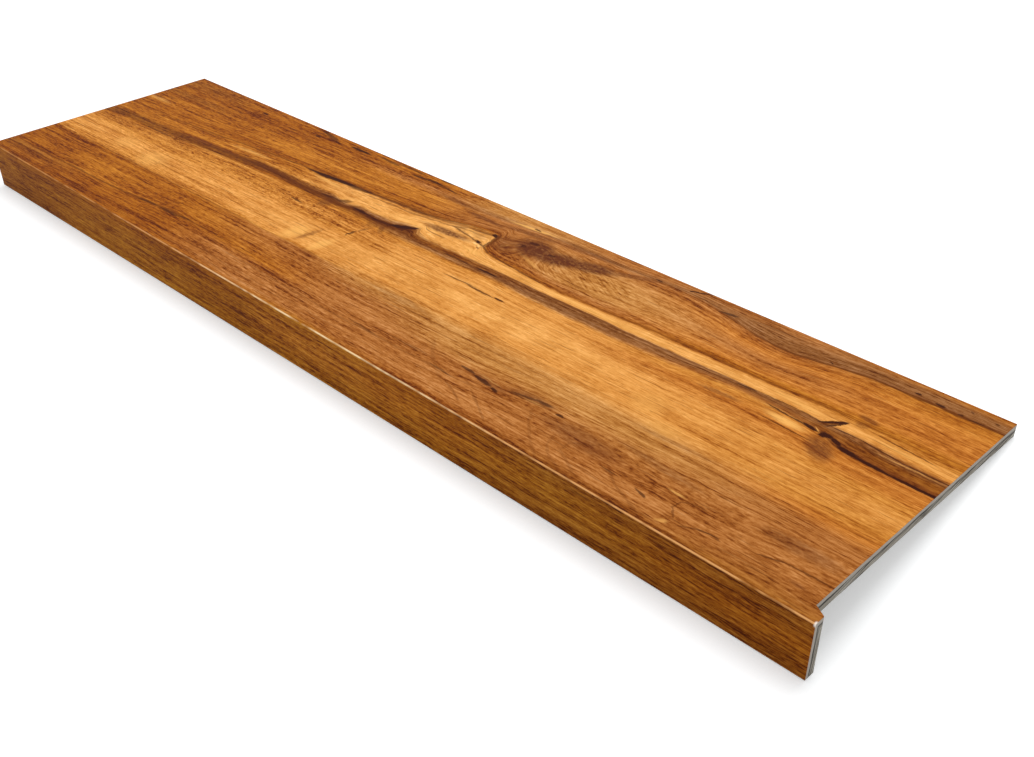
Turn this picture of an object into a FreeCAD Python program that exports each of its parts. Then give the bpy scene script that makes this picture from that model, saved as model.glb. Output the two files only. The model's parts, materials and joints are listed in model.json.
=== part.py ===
import FreeCAD, Part
import math
import os

# Stair tread cover: a flat board with a nosing folded down along its front edge.
# It is drawn level, with its left end at X = 0, its front face at Y = 0, its back edge
# at the highest Y and the nosing's lower edge at Z = 0. Then it is set down as it lies
# by itself on a level floor: on the nosing's lower edge and the board's back edge.

# Driving sizes in millimetres
tread_length = 1194.0       # along the nosing, end to end
tread_depth = 308.0         # from the front face to the back edge
nosing_height = 55.0        # from the top face down to the nosing's lower edge
board_thickness = 12.0      # board with its face layer
nosing_thickness = 10.4     # nosing with its face layer
face_thickness = 1.0        # wood grain layer on the top and the front
core_edge_radius = 1.0      # the core's front edge, under the folded face layer
end_lap = 10.0              # how far the nosing runs past the board at the right end
end_lap_relief = 5.6        # depth of the slanted cut behind that lap

# Sizes that follow from them
fold_radius = core_edge_radius + face_thickness
board_underside = nosing_height - board_thickness
core_top = nosing_height - face_thickness
board_end = tread_length - end_lap
rest_tilt = math.atan2(board_underside, tread_depth - nosing_thickness)


def at(depth, height):
    """A point of the cross-section, in the plane of the left end."""
    return FreeCAD.Vector(0, depth, height)


def line(start, end):
    """A straight edge of the cross-section."""
    return Part.LineSegment(start, end).toShape()


# Where the fold turns, and where the mitre runs from the inside corner to the core's edge
fold_centre = at(fold_radius, nosing_height - fold_radius)
inside_corner = at(nosing_thickness, board_underside)
mitre_direction = (fold_centre - inside_corner).normalize()
mitre_outer = fold_centre + mitre_direction * core_edge_radius


def fold_point(radius, direction):
    """A point on the fold, at a radius from its centre."""
    return fold_centre + direction * radius


def fold_arc(radius, start_direction, end_direction):
    """An arc of the fold between two directions, the short way round."""
    middle = (start_direction + end_direction).normalize()
    return Part.Arc(
        fold_point(radius, start_direction),
        fold_point(radius, middle),
        fold_point(radius, end_direction),
    ).toShape()


up = FreeCAD.Vector(0, 0, 1)
forward = FreeCAD.Vector(0, -1, 0)


def along_the_tread(edges):
    """The solid that a closed cross-section makes over the tread's whole length."""
    outline = Part.Wire(Part.__sortEdges__(edges))
    return Part.Face(outline).extrude(FreeCAD.Vector(tread_length, 0, 0))


def end_cut():
    """The block cut away behind the nosing at the right end, seen as a plan outline."""
    spare = tread_depth
    corners = [
        FreeCAD.Vector(tread_length, nosing_thickness, 0),
        FreeCAD.Vector(board_end, nosing_thickness + end_lap_relief, 0),
        FreeCAD.Vector(board_end, tread_depth + spare, 0),
        FreeCAD.Vector(tread_length + spare, tread_depth + spare, 0),
        FreeCAD.Vector(tread_length + spare, nosing_thickness, 0),
    ]
    outline = Part.makePolygon(corners + corners[:1])
    return Part.Face(outline).extrude(up * (nosing_height + spare))


def tread_board():
    """The horizontal board's core, mitred where the nosing joins it."""
    back_low = at(tread_depth, board_underside)
    back_high = at(tread_depth, core_top)
    fold_start = fold_point(core_edge_radius, up)
    edges = [
        line(inside_corner, back_low),
        line(back_low, back_high),
        line(back_high, fold_start),
        fold_arc(core_edge_radius, up, mitre_direction),
        line(mitre_outer, inside_corner),
    ]
    return along_the_tread(edges).cut(end_cut())


def nosing_board():
    """The core of the nosing, the same board turned down at the mitre."""
    fold_end = fold_point(core_edge_radius, forward)
    front_low = at(face_thickness, 0)
    back_low = at(nosing_thickness, 0)
    edges = [
        line(inside_corner, mitre_outer),
        fold_arc(core_edge_radius, mitre_direction, forward),
        line(fold_end, front_low),
        line(front_low, back_low),
        line(back_low, inside_corner),
    ]
    return along_the_tread(edges)


def wood_face():
    """The wood grain layer, in one piece over the top, round the fold and down the front."""
    back_low = at(tread_depth, core_top)
    back_high = at(tread_depth, nosing_height)
    front_out = at(0, 0)
    front_in = at(face_thickness, 0)
    edges = [
        line(back_low, back_high),
        line(back_high, fold_point(fold_radius, up)),
        fold_arc(fold_radius, up, forward),
        line(fold_point(fold_radius, forward), front_out),
        line(front_out, front_in),
        line(front_in, fold_point(core_edge_radius, forward)),
        fold_arc(core_edge_radius, forward, up),
        line(fold_point(core_edge_radius, up), back_low),
    ]
    return along_the_tread(edges).cut(end_cut())


def lay_down(shape):
    """The shape as the tread lies: its back edge down, its middle over the origin."""
    box_depth = tread_depth * math.cos(rest_tilt) + nosing_height * math.sin(rest_tilt)
    lift = nosing_thickness * math.sin(rest_tilt)
    laid = shape.copy()
    laid.rotate(FreeCAD.Vector(0, 0, 0), FreeCAD.Vector(1, 0, 0), -math.degrees(rest_tilt))
    laid.translate(FreeCAD.Vector(-tread_length / 2, -box_depth / 2, lift))
    return laid


pieces = {
    "tread_board": tread_board,
    "nosing_board": nosing_board,
    "wood_face": wood_face,
}

os.makedirs("parts", exist_ok=True)
for name, make in pieces.items():
    lay_down(make()).exportStep("parts/" + name + ".step")
    print("wrote", name)
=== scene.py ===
import json
import math

import bpy
from mathutils import Euler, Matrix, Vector

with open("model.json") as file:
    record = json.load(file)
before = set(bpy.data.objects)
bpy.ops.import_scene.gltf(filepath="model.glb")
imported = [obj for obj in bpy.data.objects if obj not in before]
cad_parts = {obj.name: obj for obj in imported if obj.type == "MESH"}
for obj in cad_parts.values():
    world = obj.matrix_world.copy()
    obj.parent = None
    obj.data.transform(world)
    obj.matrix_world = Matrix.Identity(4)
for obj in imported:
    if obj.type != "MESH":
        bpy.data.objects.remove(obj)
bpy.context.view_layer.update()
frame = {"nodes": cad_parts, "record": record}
print("stage: frame loaded")

millimetre = 0.001

# The tread's own sizes in millimetres, as its boards were cut
tread = {
    "length": 1194.0,
    "depth": 308.0,
    "height": 55.0,          # top face down to the nosing's lower edge
    "nosing": 10.4,          # thickness of the nosing
}


def toLinear(hexColour):
    # an sRGB hex value as the linear colour that a socket takes
    channels = [int(hexColour[i:i + 2], 16) / 255 for i in (1, 3, 5)]
    linear = [c / 12.92 if c <= 0.04045 else ((c + 0.055) / 1.055) ** 2.4 for c in channels]
    return (*linear, 1.0)


def add(tree, kind, inputs=None, **settings):
    # one node, with its settings, and its sockets set or linked;
    # a node given as a value means its first output
    made = tree.nodes.new(kind)
    for name, value in settings.items():
        setattr(made, name, value)
    for socket, value in (inputs or {}).items():
        if isinstance(value, bpy.types.Node):
            value = value.outputs[0]
        if isinstance(value, bpy.types.NodeSocket):
            tree.links.new(value, made.inputs[socket])
        else:
            made.inputs[socket].default_value = value
    return made


def newMaterial(name):
    material = bpy.data.materials.new(name)
    material.use_nodes = True
    material.node_tree.nodes.clear()
    return material, material.node_tree


def dress(node, material):
    # gives a carried-over CAD node its finish
    node.data.materials.clear()
    node.data.materials.append(material)


# How the tread lies: tilted about its length, as its seat's direction in the record says
seatAxis = next(m for m in frame["record"]["mounts"] if m["name"] == "tread_seat")["axis"]
restTilt = math.atan2(-seatAxis[1], -seatAxis[2])


def boardPlace(tree):
    # Object coordinates turned back to the level board, in millimetres:
    # X from the left end, Y from the front face, Z from the nosing's lower edge
    turn = Euler((restTilt, 0, 0))
    boxDepth = tread["depth"] * math.cos(restTilt) + tread["height"] * math.sin(restTilt)
    lift = tread["nosing"] * math.sin(restTilt)
    start = Vector((-tread["length"] / 2, -boxDepth / 2, lift))
    start.rotate(turn)
    coordinates = add(tree, "ShaderNodeTexCoord")
    level = add(tree, "ShaderNodeMapping", {
        "Vector": coordinates.outputs["Object"],
        "Location": -start,
        "Rotation": turn,
        "Scale": (1 / millimetre, 1 / millimetre, 1 / millimetre),
    }, vector_type="POINT")
    return level


# The face's wood grain. Everything is placed in millimetres: X from the left end, and
# "across" from the back edge over the top and on down the front.
grain = {
    "curveLength": 1200.0,    # what a curve's whole width stands for
    "curveAcross": 400.0,     # what a curve's whole height stands for
    "colours": {
        "heart": "#8F4C0A",
        "brown": "#9F5A12",
        "tan": "#AD671C",
        "honey": "#BD782C",
        "amber": "#B36A24",
        "gold": "#CC873C",
        "pale": "#DA984C",
        "fawn": "#B67A3A",
        "clay": "#A2622A",
        "ash": "#8B582C",
        "smoke": "#7C430A",
        "streak": "#622D04",
        "umber": "#864A10",
        "olive": "#9A5A10",
        "bark": "#7A4012",
    },
    "ink": "#2E0B04",         # cracks and the darkest marks
    "vein": "#582803",        # thin lines, pores and traces
    "plum": "#5A2A12",        # the knot and other brown marks
    "shine": "#EBAE5C",       # pale marks
    "toneGains": (0.66, 1.0, 1.75),   # red changes least from dark wood to pale, blue most
    # growth lines that the grain follows, each as (X, across)
    "guides": [
        [(0, 46), (150, 41), (300, 37), (460, 36), (540, 33), (600, 28), (640, 24), (700, 20), (760, 22),
         (800, 18), (850, 14), (900, 20), (950, 32), (985, 36), (1010, 32), (1040, 26), (1090, 22),
         (1184, 23)],
        [(0, 112), (120, 108), (200, 100), (310, 88), (346, 86), (444, 80), (520, 75), (546, 72),
         (566, 68), (595, 59), (614, 56), (630, 55), (638, 62), (641, 80), (655, 90), (675, 94),
         (698, 95), (738, 98), (770, 99), (830, 97), (910, 93), (1000, 90), (1080, 88), (1184, 90)],
        [(0, 138), (120, 130), (200, 124), (310, 114), (400, 115), (445, 110), (465, 112), (520, 111),
         (548, 104), (561, 102), (568, 110), (600, 114), (640, 112), (700, 111), (800, 110), (900, 109),
         (980, 107), (1036, 107), (1066, 108), (1084, 107), (1104, 107), (1140, 110), (1184, 111)],
        [(0, 153), (120, 144), (200, 139), (310, 131), (400, 130), (500, 128), (560, 132), (600, 129),
         (650, 128), (700, 126), (760, 129), (900, 126), (960, 120), (1020, 118), (1060, 121),
         (1080, 124), (1098, 130), (1122, 133), (1150, 134), (1194, 134)],
        [(0, 169), (400, 166), (800, 163), (1194, 160)],
        [(0, 221), (200, 219), (400, 217), (500, 215), (700, 213), (900, 209), (1194, 206)],
        [(0, 279), (150, 274), (240, 270), (290, 266), (350, 261), (500, 262), (600, 264), (700, 261),
         (800, 257), (870, 250), (950, 245), (1194, 240)],
    ],
    # the width that each band between two guides is drawn at, in order from the back edge
    "bands": [32.0, 58.0, 22.0, 14.0, 38.0, 50.0, 50.0, 44.0, 55.0],
    # swells that the grain flows round: X, across, half length, half width, height
    "swells": [
        (684, 52, 30, 20, 12.0),
        (735, 44, 80, 20, 8.0),
        (1050, 270, 110, 22, -4.0),
        (448, 114, 16, 10, -5.0),
    ],
    # what colour the wood has across the board at several places along it; the stops from 308 on,
    # down the front face, are darker than the top's partly as painted shade
    "stations": [
        (60, [(0, "brown"), (10, "umber"), (30, "heart"), (38, "umber"), (50, "heart"), (58, "brown"),
            (70, "brown"), (76, "heart"), (88, "heart"), (95, "brown"), (108, "brown"), (113, "smoke"),
            (123, "smoke"), (128, "brown"), (150, "honey"), (166, "honey"), (184, "gold"), (211, "honey"),
            (215, "heart"), (262, "heart"), (270, "umber"), (300, "heart"), (308, "heart"),
            (330, "olive"), (363, "umber")]),
        (200, [(0, "brown"), (12, "heart"), (30, "heart"), (44, "brown"), (66, "brown"), (78, "heart"),
            (88, "heart"), (93, "brown"), (101, "tan"), (108, "brown"), (112, "heart"), (116, "smoke"),
            (124, "smoke"), (130, "honey"), (150, "honey"), (166, "honey"), (184, "gold"), (211, "honey"),
            (215, "heart"), (262, "brown"), (270, "heart"), (300, "heart"), (308, "heart"),
            (330, "olive"), (363, "olive")]),
        (330, [(0, "brown"), (20, "heart"), (34, "brown"), (60, "tan"), (80, "brown"), (86, "heart"),
            (90, "brown"), (92, "tan"), (100, "brown"), (108, "honey"), (112, "smoke"), (116, "streak"),
            (121, "streak"), (125, "heart"), (129, "honey"), (150, "honey"), (166, "gold"), (204, "gold"),
            (211, "honey"), (215, "brown"), (250, "brown"), (268, "heart"), (300, "heart"),
            (308, "heart"), (330, "olive"), (363, "olive")]),
        (500, [(0, "brown"), (12, "brown"), (22, "clay"), (34, "tan"), (60, "tan"), (82, "brown"),
            (89, "streak"), (92, "gold"), (97, "pale"), (109, "pale"), (112, "ash"), (116, "streak"),
            (120, "streak"), (124, "umber"), (129, "tan"), (146, "gold"), (160, "honey"), (168, "gold"),
            (190, "pale"), (208, "gold"), (213, "honey"), (216, "clay"), (262, "brown"), (275, "clay"),
            (300, "clay"), (308, "heart"), (330, "olive"), (363, "olive")]),
        (620, [(0, "fawn"), (18, "fawn"), (28, "ash"), (36, "clay"), (60, "clay"), (80, "clay"),
            (88, "brown"), (91, "gold"), (95, "pale"), (110, "pale"), (113, "umber"), (117, "umber"),
            (123, "ash"), (128, "honey"), (140, "gold"), (175, "pale"), (200, "gold"), (216, "fawn"),
            (235, "clay"), (300, "clay"), (308, "olive"), (330, "tan"), (363, "olive")]),
        (790, [(0, "clay"), (14, "clay"), (28, "ash"), (36, "clay"), (60, "fawn"), (76, "fawn"),
            (83, "clay"), (89, "heart"), (91, "gold"), (95, "pale"), (109, "pale"), (112, "ash"),
            (117, "ash"), (123, "ash"), (127, "gold"), (140, "gold"), (175, "pale"), (200, "gold"),
            (216, "fawn"), (240, "fawn"), (262, "clay"), (300, "clay"), (308, "heart"), (330, "brown"),
            (363, "olive")]),
        (960, [(0, "clay"), (18, "ash"), (30, "ash"), (34, "clay"), (46, "amber"), (62, "clay"),
            (80, "amber"), (84, "brown"), (89, "heart"), (92, "gold"), (96, "pale"), (109, "pale"),
            (112, "ash"), (117, "ash"), (122, "clay"), (127, "honey"), (140, "amber"), (164, "gold"),
            (204, "gold"), (222, "fawn"), (245, "fawn"), (275, "clay"), (300, "clay"), (308, "umber"),
            (330, "olive"), (363, "umber")]),
        (1140, [(0, "brown"), (14, "ash"), (24, "ash"), (31, "streak"), (34, "tan"), (56, "amber"),
            (78, "amber"), (84, "tan"), (88, "brown"), (92, "honey"), (100, "gold"), (108, "gold"),
            (112, "bark"), (114, "ash"), (117, "umber"), (120, "umber"), (123, "bark"), (125, "streak"),
            (128, "amber"), (150, "amber"), (166, "honey"), (185, "gold"), (205, "honey"), (222, "amber"),
            (240, "clay"), (290, "clay"), (308, "umber"), (335, "heart"), (363, "umber")]),
    ],
    "sway": {"length": 18.0, "width": 1.6, "height": 2.0},   # how the bands' borders fray
    # Fibres: length along the grain, width across it, how much they lighten and darken. Real
    # fibres, pores and veins are a few tenths of a millimetre wide, which is too fine to show, so
    # the finest are drawn 1 to 2 mm wide.
    "fibres": [(8.0, 1.2, 0.58), (36.0, 2.0, 0.44), (120.0, 3.8, 0.48), (380.0, 11.0, 0.40)],
    # pale wood is the calmer: (brightness, share of the fibres)
    "calm": {"dark": (0.14, 1.65), "pale": (0.34, 0.62)},
    # over the top the right is calmer than the left, down the front it is livelier:
    # (X, share on top, share in front)
    "calmLeft": (150.0, 1.10, 0.90),
    "calmRight": (950.0, 0.80, 1.08),
    "leastTone": 0.15,        # the darkest that fibres make the wood, as a share of its band's tone
    "shimmer": {"length": 26.0, "width": 90.0, "depth": 0.14},   # light and dark bars across the grain
    "clouds": {"length": 62.0, "width": 13.0, "depth": 0.20},    # broad patches along it
    "waver": {"length": 60.0, "width": 18.0, "height": 2.4},     # how the growth lines wander
    # dashes along the grain; glints are pale ones, with their depth as a gain in tone
    "pores": {"length": 9.0, "width": 1.0, "share": 0.65, "depth": 0.60},
    "glints": {"length": 16.0, "width": 1.0, "share": 0.60, "depth": 0.38},
    "veins": {"length": 50.0, "width": 1.5, "share": 0.62, "depth": 0.65},
    "dashEdge": 0.12,         # how softly a dash begins and ends
    # thin dark lines that follow the guides: across as drawn, half width, X from, X to, depth
    "lines": [
        (117.0, 1.6, 180, 560, 0.60),
        (112.5, 1.5, 560, 1060, 0.50),
        (120.0, 1.2, 300, 620, 0.50),
        (121.0, 1.3, 620, 1040, 0.38),
        (116.0, 0.8, 560, 1194, 0.45),
        (119.0, 0.8, 640, 1194, 0.40),
        (90.0, 1.5, -20, 655, 0.62),
        (94.0, 1.1, 420, 640, 0.55),
        (88.0, 1.2, 700, 1180, 0.40),
        (32.0, 1.5, 890, 1194, 0.72),
        (214.0, 1.4, 0, 640, 0.35),
        (264.0, 1.6, -20, 400, 0.66),
        (262.0, 1.0, 240, 460, 0.55),
        (187.0, 0.8, 0, 620, 0.16),
        (195.0, 0.9, 0, 760, 0.20),
        (205.0, 0.8, 500, 1194, 0.16),
        (222.0, 1.0, 560, 900, 0.35),
        (233.0, 1.0, 500, 960, 0.25),
        (276.0, 1.0, 380, 900, 0.40),
        (290.0, 1.0, 100, 760, 0.30),
        (300.0, 0.9, 60, 640, 0.30),
    ],
    "lineReach": (0.58, 1.2),   # how far a line's fading ends and sides reach, of its length and half width
    # cracks, each a chain of (X, across), its half width and depth
    "cracks": [
        ([(520, 76), (562, 70), (595, 58), (616, 56)], 1.2, 0.45),
        ([(585, 72), (600, 64), (637, 57)], 1.1, 0.50),
        ([(585, 72), (616, 77), (641, 83)], 1.2, 0.62),
        ([(636, 55), (638, 66), (640, 83)], 1.2, 0.50),
        ([(1010, 106), (1045, 105.5), (1068, 107.5)], 1.0, 0.62),
        ([(1066, 108), (1075, 101), (1084, 94)], 2.0, 0.92),
        ([(1073, 110), (1079, 103), (1084, 94)], 1.3, 0.80),
        ([(1021, 116), (1044, 119), (1060, 119.5)], 1.3, 0.80),
        ([(1058, 119), (1071, 121)], 2.8, 0.95),
        ([(1076, 119.5), (1086, 121), (1096, 125)], 3.2, 0.96),
        ([(1096, 127), (1114, 130)], 3.6, 0.96),
        ([(1108, 130), (1146, 132), (1192, 132.5)], 2.3, 0.94),
        ([(1081, 107.5), (1103, 107), (1143, 111.5), (1192, 112)], 1.2, 0.68),
    ],
    "strokeReach": 0.78,      # half a stroke's length, of its stretch in the chain, so that strokes join
    # traces, the same but as brown as the veins
    "traces": [
        ([(641, 83), (655, 90), (699, 95), (738, 98)], 1.8, 0.75),
        ([(520, 77), (562, 71), (600, 62), (637, 57)], 4.2, 0.50),
        ([(585, 72), (616, 77), (641, 83)], 3.0, 0.40),
        ([(637, 56), (640, 70), (642, 84)], 4.0, 0.60),
        ([(1070, 108.5), (1083, 95)], 4.0, 0.72),
        ([(1090, 111), (1130, 116), (1192, 116)], 1.0, 0.8),
        ([(1112, 92), (1160, 96)], 1.1, 0.8),
        ([(1028, 134), (1072, 136)], 1.1, 0.85),
        ([(882, 259), (894, 275), (912, 292), (929, 304)], 2.0, 0.22),
        ([(921, 272), (925, 286), (935, 295), (952, 303)], 2.0, 0.22),
        ([(954, 261), (937, 272), (938, 284), (964, 298)], 1.8, 0.26),
        ([(984, 277), (999, 288), (1017, 295), (1033, 302)], 1.8, 0.28),
        ([(1056, 287), (1048, 278), (1049, 269), (1058, 264), (1069, 264)], 1.1, 0.55),
        ([(1126, 277), (1146, 271), (1184, 270)], 1.3, 0.75),
        ([(799, 281), (812, 285), (826, 292)], 1.6, 0.36),
        ([(825, 275), (846, 287), (864, 298)], 1.6, 0.32),
        ([(741, 241), (755, 257), (768, 266), (792, 281)], 2.6, 0.20),
        ([(1065, 292), (1077, 286), (1088, 283), (1097, 285)], 1.2, 0.62),
    ],
    # marks: X, across, half length, half width, turn in degrees, depth
    "darkMarks": [
        (395, 84, 50, 4.6, -5, 0.96), (440, 82, 26, 3.4, -8, 0.72), (372, 86, 30, 3.0, -3, 0.88),
        (545, 111, 20, 4.6, -24, 0.95), (556, 105, 8, 3.6, -30, 0.95), (520, 118, 26, 2.4, -4, 0.60),
        (484, 117, 20, 2.6, 2, 0.90), (450, 113, 12, 5.0, -30, 0.62), (430, 117, 20, 2.4, -6, 0.6),
        (633, 57, 6, 3.2, 30, 0.95), (629, 79, 6, 2.6, 25, 0.95), (639, 89, 2.6, 1.6, 20, 0.6),
        (353, 11, 24, 2.6, 0, 0.95), (290, 7, 24, 3.4, 10, 0.70), (306, 13, 18, 2.8, 6, 0.6),
        (405, 8, 28, 2.6, 4, 0.65), (440, 4, 32, 2.4, 3, 0.6), (466, 13, 20, 2.4, -4, 0.8),
        (490, 11, 18, 2.8, 4, 0.8), (512, 13, 24, 2.2, 6, 0.62), (498, 1, 14, 2.2, 0, 0.75),
        (170, 19, 7, 2.4, 4, 0.9), (280, 19, 7, 2.2, 8, 0.8), (142, 39, 8, 1.8, 8, 0.5),
        (238, 27, 12, 1.6, 6, 0.35), (30, 70, 14, 2.0, 0, 0.35), (408, 148, 14, 1.8, 1, 0.75),
        (118, 146, 40, 1.7, -2, 0.6), (150, 145, 18, 1.7, -2, 0.5), (516, 158, 2.2, 9, 4, 0.7),
        (520, 144, 2.0, 9, 8, 0.45), (684, 119.5, 18, 2.2, 0, 0.85), (640, 120, 26, 2.2, 0, 0.55),
        (656, 17, 7, 1.8, 2, 0.8), (731, 149.5, 9, 1.8, -2, 0.9), (704, 150, 26, 1.5, 2, 0.75),
        (676, 149, 28, 1.4, -2, 0.65), (858, 8, 6, 2.0, -22, 0.9), (868, 4, 12, 1.6, -30, 0.8),
        (820, 14, 6, 1.4, 4, 0.7), (908, 19, 14, 2.2, -8, 0.7), (1104, 16, 4, 1.8, 4, 0.9),
        (1126, 19, 7, 1.6, 2, 0.9), (1144, 20, 4, 1.4, 0, 0.75), (1160, 21, 9, 1.2, 0, 0.7),
        (1150, 10, 2.0, 1.8, 0, 0.45), (1174, 12, 3.0, 1.8, 0, 0.55), (1024, 25, 3, 1.2, 30, 0.7),
        (1078, 123, 5, 3.6, 20, 0.96), (675, 42, 8, 3, -10, 0.6), (670, 54, 5, 3, 40, 0.6),
        (708, 49, 6, 2.4, -10, 0.6), (992, 108, 12, 1.6, -3, 0.6), (800, 254, 12, 2.0, 4, 0.72),
        (820, 257.5, 15, 2.8, 6, 0.80), (838, 261, 7, 2.6, 14, 0.85), (866, 249, 18, 2.2, -10, 0.62),
        (884, 246, 12, 2.6, -4, 0.66), (906, 250, 6, 2.0, 0, 0.8), (858, 253, 12, 1.2, 0, 0.5),
        (780, 271, 20, 1.6, 4, 0.45), (674, 272, 26, 1.6, 2, 0.42), (730, 263, 36, 1.4, -2, 0.35),
        (1020, 282, 9, 1.6, 18, 0.7), (984, 278, 12, 1.3, 4, 0.45), (1086, 284, 14, 1.2, -10, 0.5),
        (960, 12, 40, 1.6, -3, 0.35), (1040, 4, 40, 1.4, 0, 0.3), (290, 265, 22, 2.4, -6, 0.55),
        (330, 263, 22, 3.0, -3, 0.6), (354, 260, 14, 2.2, -4, 0.55),
    ],
    "brownMarks": [
        (683, 50, 36, 25, 0, 1.0), (716, 51, 46, 18, -15, 0.96), (752, 41, 44, 14, -15, 0.88),
        (792, 27, 42, 6, -20, 0.55), (656, 62, 24, 22, 30, 0.48), (596, 37, 44, 5, 2, 0.62),
        (662, 28, 54, 6, -8, 0.6), (620, 69, 18, 7, 12, 0.30), (730, 20, 60, 5, -6, 0.45),
        (540, 28, 40, 5, 2, 0.5), (588, 86, 46, 8, -4, 0.80), (437, 130, 12, 14, 20, 0.55),
        (532, 130, 14, 5, 40, 0.55), (518, 128, 10, 12, 10, 0.4), (980, 131, 30, 4, -4, 0.55),
        (1075, 102, 13, 3.8, -47, 0.85), (1086, 140, 24, 15, 45, 0.70), (1095, 79, 14, 5, 10, 0.55),
        (1094, 88, 8, 8, 20, 0.35), (700, 120, 70, 4, 0, 0.4), (200, 126, 80, 6, -4, 0.45),
        (310, 118, 60, 6, -2, 0.5), (486, 190, 5, 24, 8, 0.45), (1000, 214, 60, 4, -2, 0.3),
        (660, 214, 60, 7, 0, 0.3), (940, 262, 60, 16, 4, 0.40), (826, 256, 36, 7, 4, 0.42),
        (872, 248, 36, 7, -5, 0.45), (1146, 251, 46, 11, 0, 0.42), (1163, 284, 10, 3, 0, 0.40),
        (1010, 246, 60, 6, 4, 0.3),
    ],
    "paleMarks": [
        (1044, 127, 28, 6.5, 4, 0.9), (1150, 113.5, 40, 0.9, 0, 0.5), (1070, 119, 6, 1.0, 32, 0.7),
        (514, 196, 10, 24, 8, 0.65), (470, 196, 17, 24, 8, 0.65), (190, 198, 34, 26, 0, 0.42),
        (120, 192, 26, 22, 0, 0.30), (948, 184, 26, 22, 0, 0.28), (700, 74, 30, 4, 20, 0.3),
        (656, 66, 10, 1.4, -50, 0.4), (652, 18, 46, 3.0, -6, 0.8), (608, 68, 18, 5, 4, 0.45),
        (396, 93, 40, 4, 3, 0.6), (260, 104, 50, 5, -4, 0.4), (640, 98, 24, 6, 6, 0.5),
        (20, 84, 40, 6, 0, 0.35), (800, 104, 120, 4, 0, 0.4), (556, 96, 60, 7, -3, 0.3),
        (826, 253, 18, 1.2, 4, 0.55), (876, 251, 18, 1.2, -6, 0.55), (1040, 263, 12, 2.2, 4, 0.60),
        (1052, 296, 8, 3.0, -24, 0.50), (1040, 98, 40, 5, 4, 0.45), (1140, 100, 40, 4, 3, 0.4),
        (980, 205, 30, 12, 0, 0.3),
    ],
    "soft": {"pale": 0.80, "brown": 0.65, "dark": 0.45, "line": 0.5},   # from the rim in to full depth
    # the brown marks are uneven by this much
    "mottle": {"size": (5.0, 3.4), "range": (0.38, 0.60), "least": 0.74, "most": 1.15},
    # how far the rims of marks and of cracks stray, by places moved to and fro
    "smudge": {"size": (14.0, 5.0), "detail": 3.0, "shift": (9.0, 3.5)},
    "splinter": {"size": (5.0, 3.0), "detail": 2.0, "shift": (4.0, 2.0)},
    # a gritty figure in one band, which ends towards the middle of the board
    "speckle": {
        "from": 126.0, "to": 166.0, "fade": 10.0, "until": 640.0, "untilFade": 200.0,
        "grit": (7.5, 3.2), "curl": 1.4, "range": (0.56, 0.30), "depth": 0.75,
    },
    # the feathered figure beside the knot: short strokes that slant across the grain
    "feathers": [
        {"place": (748, 64), "half": (105, 27), "turn": -6, "stroke": (30.0, 2.2, 27.0), "depth": 0.95},
        {"place": (710, 33), "half": (46, 14), "turn": -14, "stroke": (24.0, 2.0, 14.0), "depth": 1.1},
    ],
    # the fold's pale line is a painted highlight with rubbed wear, patchy and fainter at the left,
    # and its chipped right corner has a white painted highlight
    "foldHighlightAndWear": {
        "half": 1.5, "depth": 0.94, "patch": 30.0, "patchRange": (0.32, 0.55),
        "leftShare": 0.5, "leftFade": (200.0, 520.0),
        "colour": "#FFDEAC", "endColour": "#E8AA6A", "rightEnd": (760.0, 900.0), "leftEnd": (560.0, 400.0),
        "corner": 1.8, "cornerReach": 2.4, "cornerColour": "#F4E6DA",
    },
    # the fold's radius, how thick the print is, and the backing that a cut edge shows below it
    "layer": {"fold": 2.0, "printed": 0.4, "blend": 0.2, "backing": "#B3A79C"},
    # the embossed pores, and a matt sheen that changes with them
    "emboss": {"length": 14.0, "width": 0.8, "depth": 0.00006, "strength": 0.6},
    "finish": {"roughness": (0.46, 0.64), "ior": 1.5, "specular": 0.03},
}


def acrossTheFace(tree, level):
    # X, and the way over the top and down the front, both in millimetres
    axes = add(tree, "ShaderNodeSeparateXYZ", {0: level})
    overTheTop = add(tree, "ShaderNodeMath", {0: tread["depth"] + tread["height"], 1: axes.outputs["Y"]},
                     operation="SUBTRACT")
    across = add(tree, "ShaderNodeMath", {0: overTheTop, 1: axes.outputs["Z"]}, operation="SUBTRACT")
    return axes, across


def guideCurve(tree, points, along):
    # a growth line's place across the board, as a share of the curve's height
    curve = add(tree, "ShaderNodeFloatCurve", {"Value": along})
    places = [(x / grain["curveLength"], across / grain["curveAcross"]) for x, across in points]
    ends = curve.mapping.curves[0].points
    ends[0].location = places[0]
    ends[1].location = (1.0, places[-1][1])
    for place in places[1:-1]:
        ends.new(*place)
    for point in ends:
        point.handle_type = "AUTO_CLAMPED"
    curve.mapping.update()
    return curve


def total(tree, parts):
    # the sum of several values
    result = parts[0]
    for part in parts[1:]:
        result = add(tree, "ShaderNodeMath", {0: result, 1: part}, operation="ADD")
    return result


def placeTexture(node, middle, size, turn):
    # where a texture's own middle lies, how large it is drawn and how it is turned
    place = node.texture_mapping
    place.vector_type = "TEXTURE"
    place.translation = (*middle, 0)
    place.rotation = (0, 0, math.radians(turn))
    place.scale = (*size, 1)


def fibreNoise(tree, flow, length, width, detail=3.0, roughness=0.55, distortion=0.0, slant=0.0):
    # noise drawn out along the grain, or slanted across it
    noise = add(tree, "ShaderNodeTexNoise", {
        "Vector": flow, "Scale": 1.0, "Detail": detail, "Roughness": roughness, "Distortion": distortion,
    })
    placeTexture(noise, (0, 0), (length, width), slant)
    return noise


def ellipse(tree, flat, mark):
    # 1 at a mark's middle and 0 from its rim outwards
    x, across, halfLength, halfWidth, turn = mark[:5]
    spot = add(tree, "ShaderNodeTexGradient", {"Vector": flat}, gradient_type="SPHERICAL")
    placeTexture(spot, (x, across), (halfLength, halfWidth), turn)
    return spot.outputs["Fac"]


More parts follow.
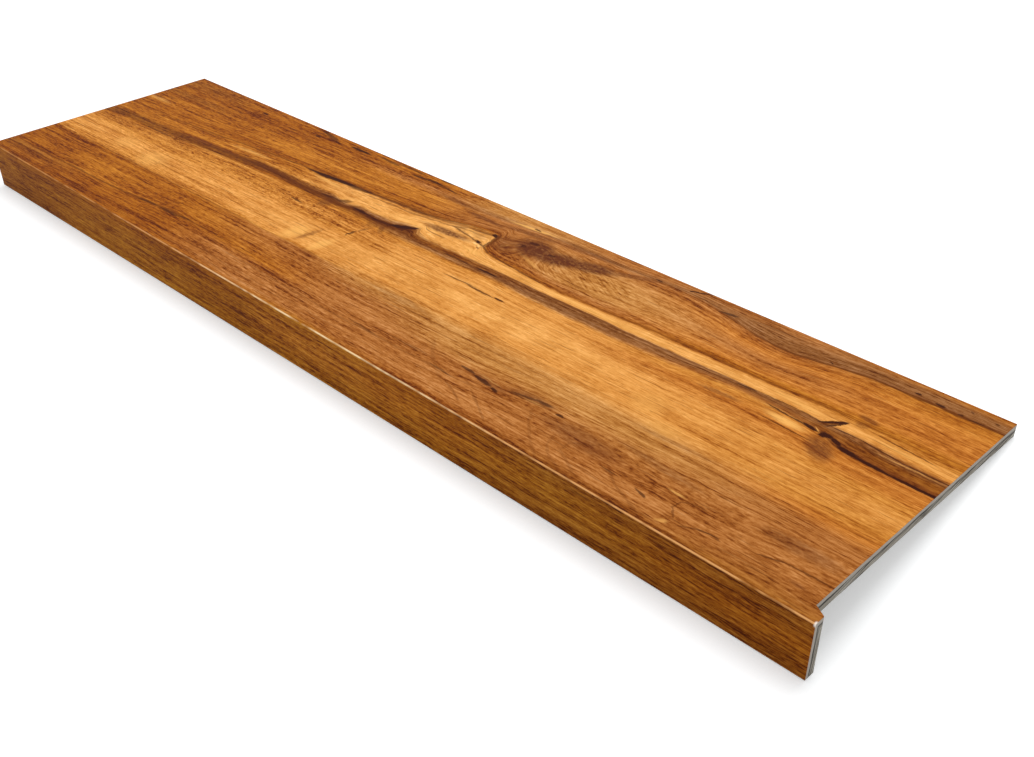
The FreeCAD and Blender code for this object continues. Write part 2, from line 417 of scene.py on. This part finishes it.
def straightenedGrain(tree, axes, across, flat):
    # the place across the board as if its growth lines were straight and parallel
    along = add(tree, "ShaderNodeMath", {0: axes.outputs["X"], 1: grain["curveLength"]}, operation="DIVIDE")
    waver = grain["waver"]
    wave = fibreNoise(tree, flat, waver["length"], waver["width"], 2.0)
    moved = add(tree, "ShaderNodeMath", {0: wave, 1: waver["height"] * 2, 2: across},
                operation="MULTIPLY_ADD")
    centred = add(tree, "ShaderNodeMath", {0: moved, 1: waver["height"]}, operation="SUBTRACT")
    share = add(tree, "ShaderNodeMath", {0: centred, 1: grain["curveAcross"]}, operation="DIVIDE")
    frontEdge = tread["depth"] / grain["curveAcross"]
    lowerEdge = (tread["depth"] + tread["height"]) / grain["curveAcross"]
    curves = [guideCurve(tree, points, along) for points in grain["guides"]]
    borders = [0.0, *curves, frontEdge, lowerEdge]
    bands = []
    for low, high, width in zip(borders, borders[1:], grain["bands"]):
        bands.append(add(tree, "ShaderNodeMapRange", {
            "Value": share, "From Min": low, "From Max": high, "To Min": 0.0, "To Max": width,
        }))
    straight = total(tree, bands)
    swells = []
    for x, middle, halfLength, halfWidth, height in grain["swells"]:
        reach = ellipse(tree, flat, (x, middle, halfLength * 2, halfWidth * 2, 0))
        swells.append(add(tree, "ShaderNodeMapRange", {"Value": reach, "To Max": height},
                          interpolation_type="SMOOTHERSTEP"))
    swollen = total(tree, [straight, *swells])
    return straight, swollen


def swayedGrain(tree, flow, swollen):
    # the same place across the board, with frayed borders between the bands
    sway = grain["sway"]
    fray = fibreNoise(tree, flow, sway["length"], sway["width"], 2.0)
    frayed = add(tree, "ShaderNodeMath", {0: fray, 1: sway["height"] * 2, 2: swollen},
                 operation="MULTIPLY_ADD")
    return add(tree, "ShaderNodeMath", {0: frayed, 1: sway["height"]}, operation="SUBTRACT")


def stationColours(tree, swayed, along):
    # the bands' colours, blended from one place along the board to the next
    whole = sum(grain["bands"])
    share = add(tree, "ShaderNodeMath", {0: swayed, 1: whole}, operation="DIVIDE")
    ramps = []
    for x, stops in grain["stations"]:
        ramp = add(tree, "ShaderNodeValToRGB", {"Fac": share})
        elements = ramp.color_ramp.elements
        elements.remove(elements[1])
        elements[0].position = stops[0][0] / whole
        elements[0].color = toLinear(grain["colours"][stops[0][1]])
        for place, name in stops[1:]:
            element = elements.new(place / whole)
            element.color = toLinear(grain["colours"][name])
        ramps.append((x, ramp))
    result = ramps[0][1]
    for (before, _), (after, ramp) in zip(ramps, ramps[1:]):
        blend = add(tree, "ShaderNodeMapRange", {"Value": along, "From Min": before, "From Max": after},
                    interpolation_type="SMOOTHSTEP")
        mixed = add(tree, "ShaderNodeMix", {"Factor": blend, 6: result, 7: ramp}, data_type="RGBA")
        result = mixed.outputs[2]
    return result


def calmShare(tree, along, across):
    # how strong the fibres are at a place, from left to right, over the top or in front
    leftmost, *leftShares = grain["calmLeft"]
    rightmost, *rightShares = grain["calmRight"]
    shares = []
    for left, right in zip(leftShares, rightShares):
        shares.append(add(tree, "ShaderNodeMapRange", {
            "Value": along, "From Min": leftmost, "From Max": rightmost, "To Min": left, "To Max": right,
        }))
    onTop, downTheFront = shares
    inFront = add(tree, "ShaderNodeMath", {0: across, 1: tread["depth"]}, operation="GREATER_THAN")
    return add(tree, "ShaderNodeMix", {"Factor": inFront, 2: onTop, 3: downTheFront}, data_type="FLOAT")


def fibreTone(tree, flow, flat, colour, calmness):
    # how much lighter or darker than its band the wood is at a point, 1 where it is the same
    changes = []
    for length, width, depth in grain["fibres"]:
        noise = fibreNoise(tree, flow, length, width, 3.0, 0.65)
        changes.append(add(tree, "ShaderNodeMath", {0: noise, 1: depth * 4}, operation="MULTIPLY"))
    change = total(tree, changes)
    middle = sum(depth * 2 for _, _, depth in grain["fibres"])
    centred = add(tree, "ShaderNodeMath", {0: change, 1: middle}, operation="SUBTRACT")
    (dark, most), (pale, least) = grain["calm"]["dark"], grain["calm"]["pale"]
    calm = add(tree, "ShaderNodeMapRange", {
        "Value": colour, "From Min": dark, "From Max": pale, "To Min": most, "To Max": least,
    })
    strength = add(tree, "ShaderNodeMath", {0: calm, 1: calmness}, operation="MULTIPLY")
    tone = add(tree, "ShaderNodeMath", {0: centred, 1: strength, 2: 1.0}, operation="MULTIPLY_ADD")
    for shape in (grain["shimmer"], grain["clouds"]):
        broad = fibreNoise(tree, flat, shape["length"], shape["width"], 2.0)
        raised = add(tree, "ShaderNodeMath", {0: broad, 1: shape["depth"] * 4, 2: tone},
                     operation="MULTIPLY_ADD")
        tone = add(tree, "ShaderNodeMath", {0: raised, 1: shape["depth"] * 2}, operation="SUBTRACT")
    return tone


def speckleTone(tree, flow, straight, along):
    # how much the gritty figure darkens its band
    speckle = grain["speckle"]
    grit = fibreNoise(tree, flow, *speckle["grit"], 2.0, distortion=speckle["curl"])
    low, high = speckle["range"]
    depth = add(tree, "ShaderNodeMapRange", {
        "Value": grit, "From Min": low, "From Max": high, "To Max": speckle["depth"],
    })
    rise = add(tree, "ShaderNodeMapRange", {
        "Value": straight, "From Min": speckle["from"], "From Max": speckle["from"] + speckle["fade"],
    })
    fall = add(tree, "ShaderNodeMapRange", {
        "Value": straight, "From Min": speckle["to"], "From Max": speckle["to"] - speckle["fade"],
    })
    until = add(tree, "ShaderNodeMapRange", {
        "Value": along, "From Min": speckle["until"], "From Max": speckle["until"] - speckle["untilFade"],
    })
    inBand = add(tree, "ShaderNodeMath", {0: rise, 1: fall}, operation="MULTIPLY")
    where = add(tree, "ShaderNodeMath", {0: inBand, 1: until}, operation="MULTIPLY")
    return add(tree, "ShaderNodeMath", {0: depth, 1: where}, operation="MULTIPLY")


def featherTone(tree, flat, feather):
    # short slanting strokes beside the knot
    length, width, slant = feather["stroke"]
    strokes = fibreNoise(tree, flat, length, width, 2.0, slant=slant)
    centred = add(tree, "ShaderNodeMath", {0: strokes, 1: 0.5}, operation="SUBTRACT")
    reach = ellipse(tree, flat, (*feather["place"], *feather["half"], feather["turn"]))
    where = add(tree, "ShaderNodeMapRange", {"Value": reach, "From Max": 0.5, "To Max": feather["depth"] * 2},
                interpolation_type="SMOOTHSTEP")
    return add(tree, "ShaderNodeMath", {0: centred, 1: where}, operation="MULTIPLY")


def marks(tree, flat, listed, softness):
    # the deepest of several marks
    deepest = None
    for mark in listed:
        shade = add(tree, "ShaderNodeMapRange", {
            "Value": ellipse(tree, flat, mark), "From Max": softness, "To Max": mark[5],
        }, interpolation_type="SMOOTHSTEP")
        if deepest is not None:
            shade = add(tree, "ShaderNodeMath", {0: deepest, 1: shade}, operation="MAXIMUM")
        deepest = shade
    return deepest


def grainLines(tree, drawn):
    # thin dark lines that run with the grain and taper to their ends
    endReach, sideReach = grain["lineReach"]
    tapered = [((start + end) / 2, place, (end - start) * endReach, halfWidth * sideReach, 0, depth)
               for place, halfWidth, start, end, depth in grain["lines"]]
    return marks(tree, drawn, tapered, grain["soft"]["line"])


def chained(tree, flat, chains):
    # chains of thin strokes
    strokes = []
    for chain, halfWidth, depth in chains:
        for (x0, across0), (x1, across1) in zip(chain, chain[1:]):
            stretch = math.hypot(x1 - x0, across1 - across0)
            turn = math.degrees(math.atan2(across1 - across0, x1 - x0))
            middle = ((x0 + x1) / 2, (across0 + across1) / 2)
            strokes.append((*middle, stretch * grain["strokeReach"], halfWidth, turn, depth))
    return marks(tree, flat, strokes, grain["soft"]["dark"])


def dashes(tree, flow, shape):
    # dashes where the drawn-out noise is highest
    noise = fibreNoise(tree, flow, shape["length"], shape["width"], 1.0)
    full = shape["share"] + grain["dashEdge"]
    return add(tree, "ShaderNodeMapRange", {
        "Value": noise, "From Min": shape["share"], "From Max": full, "To Max": shape["depth"],
    })


def strayed(tree, flat, shape):
    # places moved a little to and fro, so that what is drawn there has ragged rims
    noise = fibreNoise(tree, flat, *shape["size"], shape["detail"])
    centred = add(tree, "ShaderNodeVectorMath", {0: noise.outputs["Color"], 1: (0.5, 0.5, 0.5)},
                  operation="SUBTRACT")
    return add(tree, "ShaderNodeVectorMath", {0: centred, 1: (*shape["shift"], 0.0), 2: flat},
               operation="MULTIPLY_ADD")


def mottledBrown(tree, flat, rough):
    # the brown marks' depth, uneven as in a knot
    mottle = grain["mottle"]
    browner = marks(tree, rough, grain["brownMarks"], grain["soft"]["brown"])
    noise = fibreNoise(tree, flat, *mottle["size"], 3.0, 0.7)
    low, high = mottle["range"]
    uneven = add(tree, "ShaderNodeMapRange", {
        "Value": noise, "From Min": low, "From Max": high,
        "To Min": mottle["least"], "To Max": mottle["most"],
    })
    return add(tree, "ShaderNodeMath", {0: browner, 1: uneven}, operation="MULTIPLY", use_clamp=True)


def thinLines(tree, flow, drawn, jagged, calmness):
    # the depth of grain lines, pores, veins and traces, the deepest of them at a point
    deepest = grainLines(tree, drawn)
    for shape in (grain["pores"], grain["veins"]):
        dashed = add(tree, "ShaderNodeMath", {0: dashes(tree, flow, shape), 1: calmness},
                     operation="MULTIPLY")
        deepest = add(tree, "ShaderNodeMath", {0: deepest, 1: dashed}, operation="MAXIMUM")
    traced = chained(tree, jagged, grain["traces"])
    return add(tree, "ShaderNodeMath", {0: deepest, 1: traced}, operation="MAXIMUM")


def shinyRubbedFold(tree, along, flat, distance):
    # how strong the fold's painted highlight and rubbed wear are at a point, and their pale colour there
    foldShineAndWear = grain["foldHighlightAndWear"]
    near = add(tree, "ShaderNodeMapRange", {
        "Value": distance, "From Min": foldShineAndWear["half"], "From Max": foldShineAndWear["half"] / 3, "To Max": foldShineAndWear["depth"],
    })
    noise = fibreNoise(tree, flat, foldShineAndWear["patch"], foldShineAndWear["patch"], 2.0)
    fainter, full = foldShineAndWear["leftFade"]
    strength = add(tree, "ShaderNodeMapRange", {
        "Value": along, "From Min": fainter, "From Max": full, "To Min": foldShineAndWear["leftShare"],
    })
    low, high = foldShineAndWear["patchRange"]
    patchy = add(tree, "ShaderNodeMapRange", {
        "Value": noise, "From Min": low, "From Max": high, "To Max": strength,
    })
    shineAndRub = add(tree, "ShaderNodeMath", {0: near, 1: patchy}, operation="MULTIPLY")
    ends = []
    for start, end in (foldShineAndWear["rightEnd"], foldShineAndWear["leftEnd"]):
        ends.append(add(tree, "ShaderNodeMapRange", {"Value": along, "From Min": start, "From Max": end}))
    outward = add(tree, "ShaderNodeMath", {0: ends[0], 1: ends[1]}, operation="MAXIMUM")
    colour = add(tree, "ShaderNodeMix", {
        "Factor": outward, 6: toLinear(foldShineAndWear["colour"]), 7: toLinear(foldShineAndWear["endColour"]),
    }, data_type="RGBA")
    return shineAndRub, colour.outputs[2]


def belowThePrint(tree, axes):
    # 1 deeper in a cut edge than the printed layer, which follows the fold round
    layer = grain["layer"]
    shortY = add(tree, "ShaderNodeMath", {0: layer["fold"], 1: axes.outputs["Y"]}, operation="SUBTRACT")
    shortZ = add(tree, "ShaderNodeMath", {0: axes.outputs["Z"], 1: tread["height"] - layer["fold"]},
                 operation="SUBTRACT")
    short = add(tree, "ShaderNodeCombineXYZ", {0: shortY, 1: shortZ})
    outside = add(tree, "ShaderNodeVectorMath", {0: short, 1: (0, 0, 0)}, operation="MAXIMUM")
    reach = add(tree, "ShaderNodeVectorMath", {0: outside}, operation="LENGTH").outputs["Value"]
    printed = layer["fold"] - layer["printed"]
    return add(tree, "ShaderNodeMapRange", {
        "Value": reach, "From Min": printed, "From Max": printed - layer["blend"],
    })


def chippedCornerHighlight(tree, along, distance):
    # 1 at the fold's right end, where the chipped corner gets a white painted highlight
    foldShineAndWear = grain["foldHighlightAndWear"]
    start = tread["length"] - foldShineAndWear["corner"]
    rightEnd = add(tree, "ShaderNodeMapRange", {
        "Value": along, "From Min": start, "From Max": tread["length"] - foldShineAndWear["corner"] / 3,
    })
    tip = add(tree, "ShaderNodeMapRange", {
        "Value": distance, "From Min": foldShineAndWear["half"] * foldShineAndWear["cornerReach"], "From Max": foldShineAndWear["half"],
    })
    return add(tree, "ShaderNodeMath", {0: rightEnd, 1: tip}, operation="MULTIPLY")


# Melamine or vinyl face with a printed and embossed wood grain: a matt, even sheen, warm
# brown and honey bands, dark growth lines and fine pores that run along the tread.
def woodFaceMaterial():
    material, tree = newMaterial("embossedWoodGrainFace")
    level = boardPlace(tree)
    axes, across = acrossTheFace(tree, level)
    along = axes.outputs["X"]
    flat = add(tree, "ShaderNodeCombineXYZ", {0: along, 1: across})
    straight, swollen = straightenedGrain(tree, axes, across, flat)
    flow = add(tree, "ShaderNodeCombineXYZ", {0: along, 1: swollen})
    swayed = swayedGrain(tree, flow, swollen)
    drawn = add(tree, "ShaderNodeCombineXYZ", {0: along, 1: swayed})

    # the bands, lightened and darkened by fibres
    bands = stationColours(tree, swayed, along)
    calmness = calmShare(tree, along, across)
    fibred = fibreTone(tree, flow, flat, bands, calmness)
    speckled = add(tree, "ShaderNodeMath", {0: fibred, 1: speckleTone(tree, flow, straight, along)},
                   operation="SUBTRACT")
    feathers = [featherTone(tree, flat, feather) for feather in grain["feathers"]]
    tone = total(tree, [speckled, *feathers, dashes(tree, drawn, grain["glints"])])
    darkest = add(tree, "ShaderNodeMath", {0: tone, 1: grain["leastTone"]}, operation="MAXIMUM")
    gains = add(tree, "ShaderNodeVectorMath", {0: darkest, 1: grain["toneGains"]}, operation="POWER")
    toned = add(tree, "ShaderNodeVectorMath", {0: bands, 1: gains}, operation="MULTIPLY")

    # pale marks, then brown ones, thin lines and last the cracks and darkest marks
    rough = strayed(tree, flat, grain["smudge"])
    paler = marks(tree, rough, grain["paleMarks"], grain["soft"]["pale"])
    paled = add(tree, "ShaderNodeMix", {"Factor": paler, 6: toned, 7: toLinear(grain["shine"])},
                data_type="RGBA")
    browner = mottledBrown(tree, flat, rough)
    browned = add(tree, "ShaderNodeMix", {"Factor": browner, 6: paled.outputs[2], 7: toLinear(grain["plum"])},
                  data_type="RGBA")
    jagged = strayed(tree, flat, grain["splinter"])
    darkMarks = marks(tree, rough, grain["darkMarks"], grain["soft"]["dark"])
    darker = add(tree, "ShaderNodeMath", {0: darkMarks, 1: chained(tree, jagged, grain["cracks"])},
                 operation="MAXIMUM")
    lines = thinLines(tree, flow, drawn, jagged, calmness)
    veined = add(tree, "ShaderNodeMix", {"Factor": lines, 6: browned.outputs[2], 7: toLinear(grain["vein"])},
                 data_type="RGBA")
    inked = add(tree, "ShaderNodeMix", {"Factor": darker, 6: veined.outputs[2], 7: toLinear(grain["ink"])},
                data_type="RGBA")

    # the fold's painted highlight with rubbed wear, the cut edge, and the painted highlight on the chipped
    # corner
    offset = add(tree, "ShaderNodeMath", {0: across, 1: tread["depth"]}, operation="SUBTRACT")
    distance = add(tree, "ShaderNodeMath", {0: offset}, operation="ABSOLUTE")
    shineAndRub, shineAndRubColour = shinyRubbedFold(tree, along, flat, distance)
    shinedAndWorn = add(tree, "ShaderNodeMix", {"Factor": shineAndRub, 6: inked.outputs[2], 7: shineAndRubColour},
               data_type="RGBA")
    below = belowThePrint(tree, axes)
    backing = toLinear(grain["layer"]["backing"])
    layered = add(tree, "ShaderNodeMix", {"Factor": below, 6: shinedAndWorn.outputs[2], 7: backing},
                  data_type="RGBA")
    corner = chippedCornerHighlight(tree, along, distance)
    white = toLinear(grain["foldHighlightAndWear"]["cornerColour"])
    withCornerHighlight = add(tree, "ShaderNodeMix", {"Factor": corner, 6: layered.outputs[2], 7: white},
                  data_type="RGBA")

    emboss = grain["emboss"]
    finish = grain["finish"]
    relief = fibreNoise(tree, flat, emboss["length"], emboss["width"], 1.0)
    bump = add(tree, "ShaderNodeBump", {
        "Height": relief, "Strength": emboss["strength"], "Distance": emboss["depth"],
    })
    smoothest, roughest = finish["roughness"]
    sheen = add(tree, "ShaderNodeMapRange", {"Value": relief, "To Min": smoothest, "To Max": roughest})
    shader = add(tree, "ShaderNodeBsdfPrincipled", {
        "Base Color": withCornerHighlight.outputs[2], "Roughness": sheen, "IOR": finish["ior"],
        "Specular IOR Level": finish["specular"], "Normal": bump,
    })
    add(tree, "ShaderNodeOutputMaterial", {"Surface": shader})
    return material


# The boards' core: a pressed composite of mineral and recycled plastic, sawn. A plain pale
# grey skin lies under the face, and olive and charcoal streaks marble the rest.
core = {
    "skin": "#A79F95",
    "body": "#948C80",
    "streak": "#3A342A",
    "haze": "#A9A498",
    "seam": "#241E16",               # a thin dark line under the skin
    "faceThickness": 1.0,
    "nosingLayers": 1.25,            # the nosing's layers are thinner than the board's by this
    "skinDepth": 4.4,
    "skinBlend": 0.2,
    "wander": {"size": 30.0, "height": 2.0},   # how the skin's lower side rises and falls
    "seamHalf": 1.5,
    "seamDepth": 0.97,
    "seamLeast": 0.2,                # the share of it left where the marbling is palest
    "streaks": (40.0, 2.2, -8.5),    # length and width in the cut face, and the slant there
    "alongTheBoard": 70.0,           # the streaks run this far along the board
    "darkRange": (0.49, 0.42),       # where in the marbling the streaks lie
    "paleRange": (0.52, 0.62),
    "seamRange": (0.60, 0.50),
    "grit": {"size": 1.2, "shade": (0.80, 1.20), "depth": 0.0002, "strength": 0.5},
    "finish": {"roughness": 0.78, "ior": 1.5, "specular": 0.3},
}


def layerDepth(tree, axes):
    # how deep under the face a point of the core is, from the top or from the front
    face = core["faceThickness"]
    belowTop = add(tree, "ShaderNodeMath", {0: tread["height"] - face, 1: axes.outputs["Z"]},
                   operation="SUBTRACT")
    behind = add(tree, "ShaderNodeMath", {0: axes.outputs["Y"], 1: face}, operation="SUBTRACT")
    behindFront = add(tree, "ShaderNodeMath", {0: behind, 1: core["nosingLayers"]}, operation="MULTIPLY")
    return add(tree, "ShaderNodeMath", {0: belowTop, 1: behindFront}, operation="MINIMUM")


def coreMaterial():
    material, tree = newMaterial("sawnGreyComposite")
    level = boardPlace(tree)
    axes = add(tree, "ShaderNodeSeparateXYZ", {0: level})
    depth = layerDepth(tree, axes)

    # streaks that run along the profile, from the nosing's lower edge to the back
    profile = add(tree, "ShaderNodeMath", {0: axes.outputs["Y"], 1: axes.outputs["Z"]}, operation="SUBTRACT")
    length, width, slant = core["streaks"]
    slow = add(tree, "ShaderNodeMath", {0: axes.outputs["X"], 1: core["alongTheBoard"]}, operation="DIVIDE")
    place = add(tree, "ShaderNodeCombineXYZ", {0: profile, 1: depth, 2: slow})
    marbling = fibreNoise(tree, place, length, width, 3.0, 0.6, 0.5, slant)
    ranges = []
    for low, high in (core["darkRange"], core["paleRange"]):
        ranges.append(add(tree, "ShaderNodeMapRange", {"Value": marbling, "From Min": low, "From Max": high}))
    dark, pale = ranges

    # the skin and the seam below it
    wander = core["wander"]
    middle = core["skinDepth"] + wander["height"]
    noise = fibreNoise(tree, place, wander["size"], wander["size"], 2.0)
    uneven = add(tree, "ShaderNodeMath", {0: noise, 1: wander["height"] * 2, 2: depth},
                 operation="MULTIPLY_ADD")
    inside = add(tree, "ShaderNodeMapRange", {
        "Value": uneven, "From Min": middle - core["skinBlend"], "From Max": middle + core["skinBlend"],
    })
    seamOffset = add(tree, "ShaderNodeMath", {0: uneven, 1: middle}, operation="SUBTRACT")
    seamDistance = add(tree, "ShaderNodeMath", {0: seamOffset}, operation="ABSOLUTE")
    nearSeam = add(tree, "ShaderNodeMapRange", {
        "Value": seamDistance, "From Min": core["seamHalf"], "From Max": core["seamHalf"] * 0.5,
        "To Max": core["seamDepth"],
    })
    low, high = core["seamRange"]
    seamShare = add(tree, "ShaderNodeMapRange", {
        "Value": marbling, "From Min": low, "From Max": high, "To Min": core["seamLeast"],
    })
    seam = add(tree, "ShaderNodeMath", {0: nearSeam, 1: seamShare}, operation="MULTIPLY")

    streaked = add(tree, "ShaderNodeMix", {
        "Factor": dark, 6: toLinear(core["body"]), 7: toLinear(core["streak"]),
    }, data_type="RGBA")
    hazy = add(tree, "ShaderNodeMix", {"Factor": pale, 6: streaked.outputs[2], 7: toLinear(core["haze"])},
               data_type="RGBA")
    skinned = add(tree, "ShaderNodeMix", {"Factor": inside, 6: toLinear(core["skin"]), 7: hazy.outputs[2]},
                  data_type="RGBA")
    seamed = add(tree, "ShaderNodeMix", {"Factor": seam, 6: skinned.outputs[2], 7: toLinear(core["seam"])},
                 data_type="RGBA")

    grit = core["grit"]
    finish = core["finish"]
    grains = fibreNoise(tree, level, grit["size"], grit["size"], 2.0)
    darkest, palest = grit["shade"]
    shade = add(tree, "ShaderNodeMapRange", {"Value": grains, "To Min": darkest, "To Max": palest})
    gritty = add(tree, "ShaderNodeVectorMath", {0: seamed.outputs[2], "Scale": shade}, operation="SCALE")
    bump = add(tree, "ShaderNodeBump", {
        "Height": grains, "Strength": grit["strength"], "Distance": grit["depth"],
    })
    shader = add(tree, "ShaderNodeBsdfPrincipled", {
        "Base Color": gritty, "Roughness": finish["roughness"], "IOR": finish["ior"],
        "Specular IOR Level": finish["specular"], "Normal": bump,
    })
    add(tree, "ShaderNodeOutputMaterial", {"Surface": shader})
    return material


# Studio: a white floor that keeps the tread's soft shadow, one broad lamp and an even sky
studio = {
    "floorHalf": 6.0,
    "floorColour": "#E4E6E7",
    "floorLift": 0.37,        # light added for the camera, so that the lit floor reads white
    "skyStrength": 0.66,
    "keyPlace": (-0.1, 1.15, 2.75),   # metres
    "keySize": 1.9,
    "keyPower": 56.6,         # watts
}


def seenDirectly(tree):
    # 1 for what the camera sees, also in a glossy or clear surface
    path = add(tree, "ShaderNodeLightPath")
    return total(tree, [path.outputs["Is Camera Ray"], path.outputs["Is Glossy Ray"],
                        path.outputs["Is Transmission Ray"]])


def makeFloor():
    half = studio["floorHalf"]
    mesh = bpy.data.meshes.new("studioFloor")
    corners = [(-half, -half, 0), (half, -half, 0), (half, half, 0), (-half, half, 0)]
    mesh.from_pydata(corners, [], [(0, 1, 2, 3)])
    floor = bpy.data.objects.new("studioFloor", mesh)
    bpy.context.scene.collection.objects.link(floor)
    material, tree = newMaterial("whiteStudioFloor")
    direct = seenDirectly(tree)
    lift = add(tree, "ShaderNodeMath", {0: direct, 1: studio["floorLift"]}, operation="MULTIPLY")
    paint = add(tree, "ShaderNodeBsdfDiffuse", {"Color": toLinear(studio["floorColour"])})
    glow = add(tree, "ShaderNodeEmission", {"Strength": lift})
    both = add(tree, "ShaderNodeAddShader", {0: paint, 1: glow})
    add(tree, "ShaderNodeOutputMaterial", {"Surface": both})
    mesh.materials.append(material)


def makeSky():
    world = bpy.data.worlds.new("studioSky")
    bpy.context.scene.world = world
    world.use_nodes = True
    tree = world.node_tree
    tree.nodes.clear()
    direct = seenDirectly(tree)
    strength = add(tree, "ShaderNodeMapRange", {
        "Value": direct, "To Min": studio["skyStrength"], "To Max": 1.0,
    })
    sky = add(tree, "ShaderNodeBackground", {"Color": (1, 1, 1, 1), "Strength": strength})
    add(tree, "ShaderNodeOutputWorld", {"Surface": sky})


def makeLamp():
    lamp = bpy.data.lights.new("keyLamp", "AREA")
    lamp.shape = "DISK"
    lamp.size = studio["keySize"]
    lamp.energy = studio["keyPower"]
    key = bpy.data.objects.new("keyLamp", lamp)
    key.location = studio["keyPlace"]
    key.rotation_euler = (-Vector(studio["keyPlace"])).to_track_quat("-Z", "Y").to_euler()
    bpy.context.scene.collection.objects.link(key)


# The camera stands where the photograph's did, in metres and degrees
view = {
    "place": (0.86109, -0.60017, 0.70211),
    "turn": (47.2541, 6.4918, 44.3809),
    "lens": 41.633,
    "sensor": 36.0,
    "rise": 0.06915,          # the picture's middle lies this far above the lens axis, in widths
}


def makeCamera():
    camera = bpy.data.cameras.new("viewCamera")
    camera.sensor_width = view["sensor"]
    camera.sensor_fit = "HORIZONTAL"
    camera.lens = view["lens"]
    camera.shift_y = view["rise"]
    camera.clip_start = 0.01
    holder = bpy.data.objects.new("viewCamera", camera)
    holder.location = view["place"]
    holder.rotation_euler = Euler([math.radians(a) for a in view["turn"]])
    bpy.context.scene.collection.objects.link(holder)
    bpy.context.scene.camera = holder


makeCamera()
makeFloor()
makeSky()
makeLamp()
bpy.context.scene.view_settings.view_transform = "Standard"
print("stage: camera, floor and lamps")

dress(frame["nodes"]["wood_face"], woodFaceMaterial())
print("stage: wood face")
grey = coreMaterial()
dress(frame["nodes"]["tread_board"], grey)
dress(frame["nodes"]["nosing_board"], grey)
print("stage: core boards")
